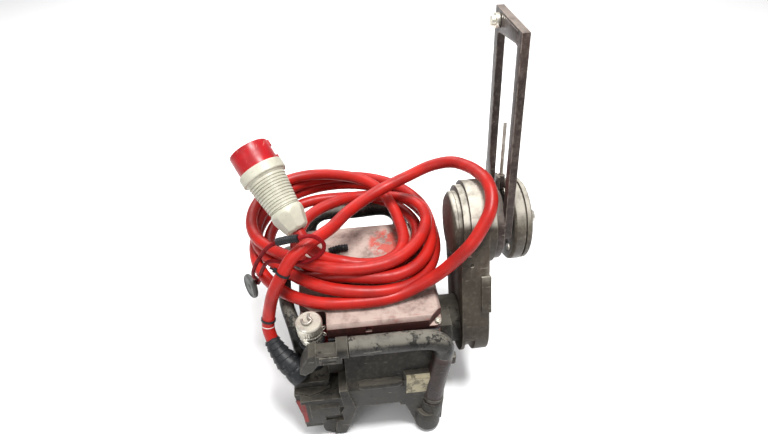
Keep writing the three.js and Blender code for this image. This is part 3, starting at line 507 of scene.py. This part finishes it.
def curve_object(name, line, diameter, look, body, stands_for=()):
    """A round cord along a line, as one open curve."""
    data = bpy.data.curves.new(name, "CURVE")
    data.dimensions = "3D"
    data.bevel_depth = diameter / 2000
    data.bevel_resolution = 7
    data.use_fill_caps = True
    data.twist_mode = "MINIMUM"
    strand = data.splines.new("POLY")
    strand.points.add(len(line) - 1)
    for point, place in zip(strand.points, line):
        point.co = (*at(place), 1)
    strand.use_smooth = True
    data.materials.append(LOOK[look])
    obj = bpy.data.objects.new(name, data)
    bpy.context.scene.collection.objects.link(obj)
    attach(obj, body)
    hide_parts(*stands_for)
    return obj


def make_cable():
    line = cable_line()
    cable = curve_object("mains_cable", line, CABLE_D, "cable", "frame",
                         ("mains_lead", "mains_coil", "mains_tail"))


def along_line(line, distance):
    """The place this far along a line of points, and the line's direction there."""
    for a, b in zip(line, line[1:]):
        span = (b - a).length
        if distance <= span:
            return a.lerp(b, distance / span), (b - a).normalized()
        distance -= span
    return line[-1], (line[-1] - line[-2]).normalized()


def cable_tie(name, distance, head_turn, look="rubber", width=3.4, thick=1.3, head=True):
    """A strap drawn tight round the lead, with its locking head and cut tail."""
    middle, along = along_line(spline(LEAD, 5), distance)
    inner, outer = CABLE_D / 2 + 0.02, CABLE_D / 2 + thick
    bm = bmesh.new()
    profile = [(inner, 0), (outer, 0.2), (outer, width - 0.2), (inner, width), (inner, 0)]
    add_lathe(bm, middle - along * width / 2, along, profile, 40)
    if head:
        out = Quaternion(along, head_turn) @ along.orthogonal().normalized()
        turn = Matrix((along, out.cross(along), out)).transposed().to_quaternion()
        lock, cut_tail = (width + 1.6, 6.5, 4.2), (width - 0.8, 1.2, 6)
        add_box(bm, middle + out * (outer + 1.4), lock, turn, 0.5)
        add_box(bm, middle + out * (outer + 5.5), cut_tail, turn, 0.2)
    return finish_mesh(name, bm, look, "frame")


# ------------------------------------------------------------------ the plug
KEY_SIDE = Vector((0.847, 0.349, 0.255))  # square to the plug's axis, towards its keyway
KEY_ACROSS = PLUG_ALONG.cross(KEY_SIDE)
KEY_TURN = Matrix((KEY_SIDE, KEY_ACROSS, PLUG_ALONG)).transposed().to_quaternion()


def plug_nut():
    """A round nut with eight flats that run out towards the body."""
    cone = [(0, 0), (13, 0), (14.4, 0.9), (19.6, 5.4), (21.6, 8), (23, 14), (23.9, 20), (24.3, 26),
            (24.2, 31), (23.6, 33.4), (22.4, 35), (0, 35)]
    facets, first_flat, slope = 8, 15.6, 0.29

    def flats(angle, distance):
        local = (angle + math.pi / facets) % (2 * math.pi / facets) - math.pi / facets
        flat = (first_flat + slope * distance) / math.cos(local)
        round_r = radius_at(cone, distance)
        return min(0.0, flat - round_r) if distance > 1 else 0.0

    fine = [cone[0], cone[1]] + [(radius_at(cone, d), d) for d in steps(0.9, 34.2, 0.75)] + cone[-2:]
    bm = add_lathe(bmesh.new(), NUT_END, PLUG_ALONG, fine, 96, flats)
    return finish_mesh("cord_nut", bm, "beige", "frame", ("plug_nut",), 24)


def steps(low, high, size):
    count = max(1, round((high - low) / size))
    return [low + (high - low) * i / count for i in range(count + 1)]


def radius_at(profile, distance):
    """The radius that a profile of (radius, distance) has at this distance."""
    rows = [row for row in profile if row[0] > 0]
    for (r0, d0), (r1, d1) in zip(rows, rows[1:]):
        if d0 <= distance <= d1 and d1 > d0:
            return r0 + (r1 - r0) * (distance - d0) / (d1 - d0)
    return rows[0][0] if distance < rows[0][1] else rows[-1][0]


def plug_body():
    """The ribbed grip, its collar and a wing either side of the keyway."""
    ribs, start, pitch, neck_r, flare = 11, 37.2, 4.35, 22.6, 0.125
    profile = [(0, 35.3), (21.4, 35.3), (neck_r, 36.2)]
    for i in range(ribs):
        d = start + i * pitch
        r = neck_r + (d - start) * flare
        profile += [(r - 1.1, d), (r - 1.1, d + 0.8), (r + 0.3, d + 1.3), (r + 0.55, d + pitch - 0.6)]
    profile += [(28.4, 85.6), (29.4, 86.4), (30.6, 88), (32.6, 88.8), (33.5, 90), (33.5, 102.4),
                (32.8, 103.6), (0, 103.8)]
    bm = add_lathe(bmesh.new(), NUT_END, PLUG_ALONG, profile, 96)
    wing_turn, wing_r, wing = 1.9, 32.8, (2.6, 9, 11)
    for side in (-1, 1):
        spin = Quaternion(PLUG_ALONG, side * wing_turn)
        add_box(bm, on_plug(97) + (spin @ KEY_SIDE) * wing_r, wing, spin @ KEY_TURN, 0.6)
    return finish_mesh("ribbed_grip", bm, "beige", "frame", ("plug_body",), 24)


def plug_shroud():
    """The round shroud round the pins, with the key on its outside and a rib either side of it."""
    profile = [(0, 104), (30, 104), (30, 135.6), (29.4, 136.7), (27.1, 136.7), (26.6, 135.9), (26.4, 112),
               (0, 112)]
    bm = add_lathe(bmesh.new(), NUT_END, PLUG_ALONG, profile, 96)
    key_r, rib_turn, rib_r, rib = 31.2, 0.5, 30, (1, 1.6, 28)
    add_box(bm, on_plug(130.5) + KEY_SIDE * key_r, (4.6, 9, 9), KEY_TURN, 0.7)
    add_box(bm, on_plug(107) + KEY_SIDE * key_r, (6, 11, 5.5), KEY_TURN, 0.9)
    for side in (-1, 1):
        spin = Quaternion(PLUG_ALONG, side * rib_turn)
        add_box(bm, on_plug(121) + (spin @ KEY_SIDE) * rib_r, rib, spin @ KEY_TURN, 0.3)
    return finish_mesh("pin_shroud", bm, "shroud", "frame", ("plug_shroud",), 24)


def plug_pins():
    """Five pins, the one at the keyway thicker."""
    bm = bmesh.new()
    pins, pitch_r, thick_r, thin_r = 5, 15, 3.4, 2.5
    for i in range(pins):
        turn = 2 * math.pi * i / pins
        foot = on_plug(111) + (KEY_SIDE * math.cos(turn) + KEY_ACROSS * math.sin(turn)) * pitch_r
        r = thick_r if i == 0 else thin_r
        add_lathe(bm, foot, PLUG_ALONG, [(0, 0), (r, 0), (r, 18), (r - 0.8, 20), (0, 20)], 24)
    return finish_mesh("plug_pins", bm, "turned", "frame")


# ------------------------------------------------------------------ sleeve, tether and its cap
SLEEVE = [(-109, -34, 309), (-95, -40, 317), (-81, -42, 320)]
TETHER = [(-109.9, -33.6, 308.1), (-124, -30, 297), (-143, -25, 268), (-155, -18, 240), (-160, -4, 212),
          (-161, 9, 195), (-164.2, 12.2, 180)]
TETHER_LOOP = [(-80.6, -42, 320), (-68, -40, 321), (-57, -38, 314), (-49, -39, 302), (-52, -42, 291),
               (-64, -45, 283), (-82, -44, 276), (-105, -36, 272), (-128, -27, 266), (-145, -13, 232),
               (-154, 2, 200), (-160, 11, 182)]
TETHER_D = 5.6


def cord_sleeve():
    """The corrugated sleeve that holds the tether's strands together."""
    waves, sleeve_r, depth = 12, 5.3, 0.42

    def ribbed(share):
        return sleeve_r + depth * math.cos(2 * math.pi * share * waves)

    bm = add_tube(bmesh.new(), spline(SLEEVE, 0.35), ribbed, 28)
    return finish_mesh("tether_sleeve", bm, "rubber", "frame", ("cord_sleeve",), 60)


def hanging_cap():
    """The plug's round dust cap, hanging from the tether."""
    profile = [(0, 0), (16.6, 0), (18.9, 1.3), (19.5, 2.4), (19.5, 5.4), (18.8, 6.5), (17.7, 6.8),
               (17.5, 7.7), (16.4, 8), (15.2, 7.6), (14.7, 6.9), (4.4, 6.9), (3.9, 7.8), (0, 8)]
    bm = add_lathe(bmesh.new(), (-168, 10, 180), (-0.85, -0.5, 0.12), profile, 80)
    return finish_mesh("dust_cap", bm, "grey_rubber", "frame", ("hanging_cap",), 24)


def make_tethers(cap):
    strands = (("tether_strand", TETHER, ("tether",)), ("tether_loop", TETHER_LOOP, ()))
    for name, points, stands_for in strands:
        line = spline(points, 3)
        cord = curve_object(name, line, TETHER_D, "tether", "frame", stands_for)


# ------------------------------------------------------------------ cable entry and control socket
def taped_boot():
    """The bend relief, wound with tape in overlapping turns that step down towards the cable."""
    start, end, pitch, thick = 20.3, 74, 9.4, 1.9
    first_turn, last_turn = 30, 72

    def wrap(angle, distance):
        wound = (distance / pitch + angle / (2 * math.pi)) % 1.0
        return thick / 2 - thick * wound if first_turn < distance < last_turn else 0.0

    body = [(17.3, start), (17.5, 24), (16.6, 32), (13.6, 46), (11.9, 60), (10.6, 72), (10.2, end)]
    profile = [(0, start)] + [(radius_at(body, d), d) for d in steps(start, end, 0.6)] + [(0, end)]
    bm = add_lathe(bmesh.new(), GLAND, GLAND_ALONG, profile, 64, wrap)
    # the middle sags out of the straight line between the ends
    sag, outward = 3.5, Vector((-0.9, 0.1, -0.42))
    for v in bm.verts:
        share = ((v.co - at(GLAND)).dot(GLAND_ALONG) * 1000 - start) / (end - start)
        v.co += outward * (4 * sag * share * (1 - share) / 1000)
    return finish_mesh("taped_boot", bm, "rubber", "frame", ("strain_relief",), 50)


SOCKET = Vector((-79, -98, 0))


def control_socket():
    """The socket's rubber body and the bare ring at its mouth."""
    body = [(0, 118.4), (14, 118.4), (14, 160), (14.8, 161), (14.8, 168.4), (16, 170), (17.9, 171.4),
            (17.9, 178), (16.4, 179.4), (0, 179.4)]
    bm = add_lathe(bmesh.new(), SOCKET, Z, body, 64)
    finish_mesh("socket_body", bm, "rubber", "frame", ("control_socket",))
    ring = [(0, 179.4), (15.4, 179.4), (15.4, 186), (16.1, 186.6), (16.1, 189.4), (15.4, 190), (15.4, 195.3),
            (0, 195.3)]
    bm = add_lathe(bmesh.new(), SOCKET, Z, ring, 64)
    finish_mesh("socket_ring", bm, "nickel", "frame")


def socket_cap():
    """The knurled metal cap on the control socket, with the hook and rings of its lanyard."""
    grips, depth, knurl_low, knurl_high = 36, 0.28, 200, 211

    def knurl(angle, distance):
        return depth * math.cos(grips * angle) if knurl_low < distance < knurl_high else 0.0

    outline = [(17.3, 195.8), (17.9, 196.4), (18, 199.6), (17.4, 200.2), (17.6, 200.8), (17.6, 210.4),
               (17.2, 211), (18.1, 211.8), (18.1, 215), (17.2, 216.6), (16.4, 217.2)]
    profile = [(0, 195.8), *outline, (0, 217.4)]
    bm = add_lathe(bmesh.new(), SOCKET, Z, profile, 144, knurl)
    finish_mesh("knurled_cap", bm, "nickel", "cap", ("socket_cap",), 28)
    hook = [(-88, -96, 219.7), (-86, -102, 219.9), (-80, -104, 220.2), (-75, -99, 221), (-79, -94, 222),
            (-78, -89, 222)]
    bm = add_tube(bmesh.new(), spline(hook, 0.8), 1.9, 20)
    finish_mesh("lanyard_hook", bm, "turned", "cap", ("cap_hook",), 50)
    bm = bmesh.new()
    ring_r, wire_r = 3.1, 0.8
    for middle, tilt in (((-60.5, -104, 207), 0.5), ((-59.5, -108, 199), -0.6)):
        level = Vector((math.cos(tilt), math.sin(tilt), 0))
        circle = [Vector(middle) + (level * math.cos(a) + Z * math.sin(a)) * ring_r
                  for a in steps(0, 2 * math.pi, 0.25)]
        add_tube(bm, circle, wire_r, 12, caps=False)
    finish_mesh("lanyard_rings", bm, "turned", "frame")


# ------------------------------------------------------------------ handles
FRONT_BAR = [(-26, -134, 201), (20, -136, 204), (62, -137, 205), (86, -138, 203), (100, -139.5, 190),
             (99.5, -141, 168), (92, -144.5, 112), (88, -147, 47)]
REAR_BAR = [(-84, 140, 60), (-86, 147, 130), (-82, 153, 168), (-62, 156, 186), (-4, 156, 187), (54, 156, 186),
            (74, 153, 168), (78, 147, 130), (76, 140, 60)]
SIDE_BAR = [(-100, -85, 112), (-101, -82, 150), (-105, -71, 179), (-113, -46, 191), (-118, -10, 192),
            (-119, 30, 191), (-117, 66, 184), (-113, 94, 158), (-110, 112, 112)]
BAR_R, SIDE_BAR_R = 13.5, 10


def handles():
    """The front bar with its scuffed post and collar, the rear handle and the side bar."""
    line = spline(FRONT_BAR, 3)
    bend = next(i for i, p in enumerate(line) if p.z < 176 and p.x > 90)  # where the bar becomes the post
    bm = add_tube(bmesh.new(), line[:bend + 1], BAR_R, 48)
    finish_mesh("front_bar", bm, "handle", "frame", ("front_handle",), 50)

    def post_r(share):
        return BAR_R + (0.5 if 0.06 < share < 0.97 else 0)

    bm = add_tube(bmesh.new(), line[bend:], post_r, 48)
    finish_mesh("front_post", bm, "post", "frame", ("front_handle",), 50)
    collar_up, collar_r = 28, BAR_R + 1.5
    foot, along = along_line(line[::-1], collar_up)
    profile = [(BAR_R, 0), (collar_r, 0.4), (collar_r, 5.2), (BAR_R, 5.6), (BAR_R, 0)]
    bm = add_lathe(bmesh.new(), foot, along, profile, 48)
    finish_mesh("post_collar", bm, "cast", "frame")
    for name, route, r in (("rear_handle", REAR_BAR, BAR_R), ("side_bar", SIDE_BAR, SIDE_BAR_R)):
        bm = add_tube(bmesh.new(), spline(route, 3), r, 40)
        finish_mesh(f"{name}_tube", bm, "handle", "frame", (name,), 50)


# ------------------------------------------------------------------ small pieces
def lid_clip():
    """A short corrugated strap on the lid, inside the coil."""
    waves, strap_r, depth = 7, 5.2, 0.5

    def ribbed(share):
        return strap_r + depth * math.cos(2 * math.pi * share * waves)

    line = spline([(-48, 37, 210.8), (-34, 41, 211.5), (-19, 43, 210.8)], 0.4)
    bm = add_tube(bmesh.new(), line, ribbed, 24)
    finish_mesh("lid_strap", bm, "rubber", "frame", (), 60)


def worn_patch():
    """Bare primer where the front casting's step has rubbed."""
    bm = bmesh.new()
    middle_x, wide, thick = 66, 35, 0.5
    chamfer = Quaternion(X, -math.atan2(4, 6))
    add_box(bm, (middle_x, -150.1, 113), (wide, thick, 35), None, 0.2)
    add_box(bm, (middle_x, -148.1, 134.1), (wide, thick, 7), chamfer, 0.2)
    finish_mesh("rubbed_patch", bm, "cream", "frame")


def flank_panel():
    """Red paint down the left corner of the front casting."""
    bm = bmesh.new()
    thick = 0.6
    lean = Quaternion(Y, -math.atan2(6, 46))
    add_box(bm, (-104.6, -138, 55), (9, thick, 62), lean, 0.2)
    add_box(bm, (-100.6, -150, 68), (6, thick, 50), None, 0.2)
    add_box(bm, (-104, -138, 62), (thick, 20, 60), None, 0.2)
    finish_mesh("flank_panel", bm, "red", "frame")


SOFTENED = {  # node: look, slot, width of the rounded edge
    "carriage_body": ("cast", "cast_grey", 1.2), "front_casting": ("cast", "cast_grey", 1.8),
    "rear_casting": ("cast", "cast_grey", 1.8), "handle_bracket": ("cast", "cast_grey", 1.6),
    "swivel_bearing": ("cast", "cast_grey", 1.2), "motor_housing": ("red", "red_paint", 1.0),
    "housing_lid": ("lid", "dusty_lid", 1.2), "lid_seal": ("rubber", "black_rubber", 0.4),
    "arm_housing": ("arm", "arm_grey", 1.6), "arm_cover": ("arm", "arm_grey", 0.6),
    "inner_flange": ("flange", "arm_grey", 0.6), "outer_flange": ("flange", "arm_grey", 0.6),
    "clamp_lever": ("arm", "arm_grey", 1.2), "guard_frame": ("guard", "dark_steel", 1.1),
    "guard_knob": ("nickel", "steel", 0.6), "cable_gland": ("rubber", "black_rubber", 0.6),
    "flange_nut": ("steel", "steel", 0.7), "latch_rod": ("turned", "steel", 0.3),
    **{f"lid_screw_{i}": ("nickel", "steel", 0.3) for i in range(1, 5)},
    **{f"flange_screw_{i}": ("steel", "steel", 0.3) for i in range(1, 4)},
    "feed_motor": ("dark", "dark_steel", 0.8), "motor_stator": ("copper", "copper", 0.8),
    "control_board": ("board", "board", 0.3),
}
DARK_NODES = (*(f"roller_axle_{i}" for i in range(1, 5)), "idler_axle")


def soften_castings():
    for node, (look, slot, width) in SOFTENED.items():
        soften(node, look, width)


def dress_the_rest():
    """The looks of the CAD nodes that are shown as they are."""
    for node, obj in frame["nodes"].items():
        look = LOOK["dark" if node in DARK_NODES else "turned"]
        if not obj.data.materials:
            obj.data.materials.append(look)
        for place in obj.material_slots:
            place.material = look


make_materials()
make_camera()
make_stage()
make_light("key", (0.25, -0.2, 2.3), (0, 0, 0.2), 0.7, 70)
make_light("fill", (-1.2, -1.3, 1.5), (0, 0, 0.25), 1.0, 9)
make_light("back", (-0.4, 1.6, 1.5), (0, 0, 0.3), 1.4, 20)
dress_the_rest()
soften_castings()
handles()
taped_boot()
control_socket()
socket_cap()
lid_clip()
worn_patch()
flank_panel()
on_cable = [plug_nut(), plug_body(), plug_shroud(), plug_pins(), cord_sleeve()]
on_cable.append(cable_tie("upper_tie", 118, 2.2))
on_cable.append(cable_tie("lower_tie", 34, 1.0))
on_cable.append(cable_tie("white_mark", 24, 0, "white", 1.2, 0.12, False))
make_cable()
make_tethers(hanging_cap())
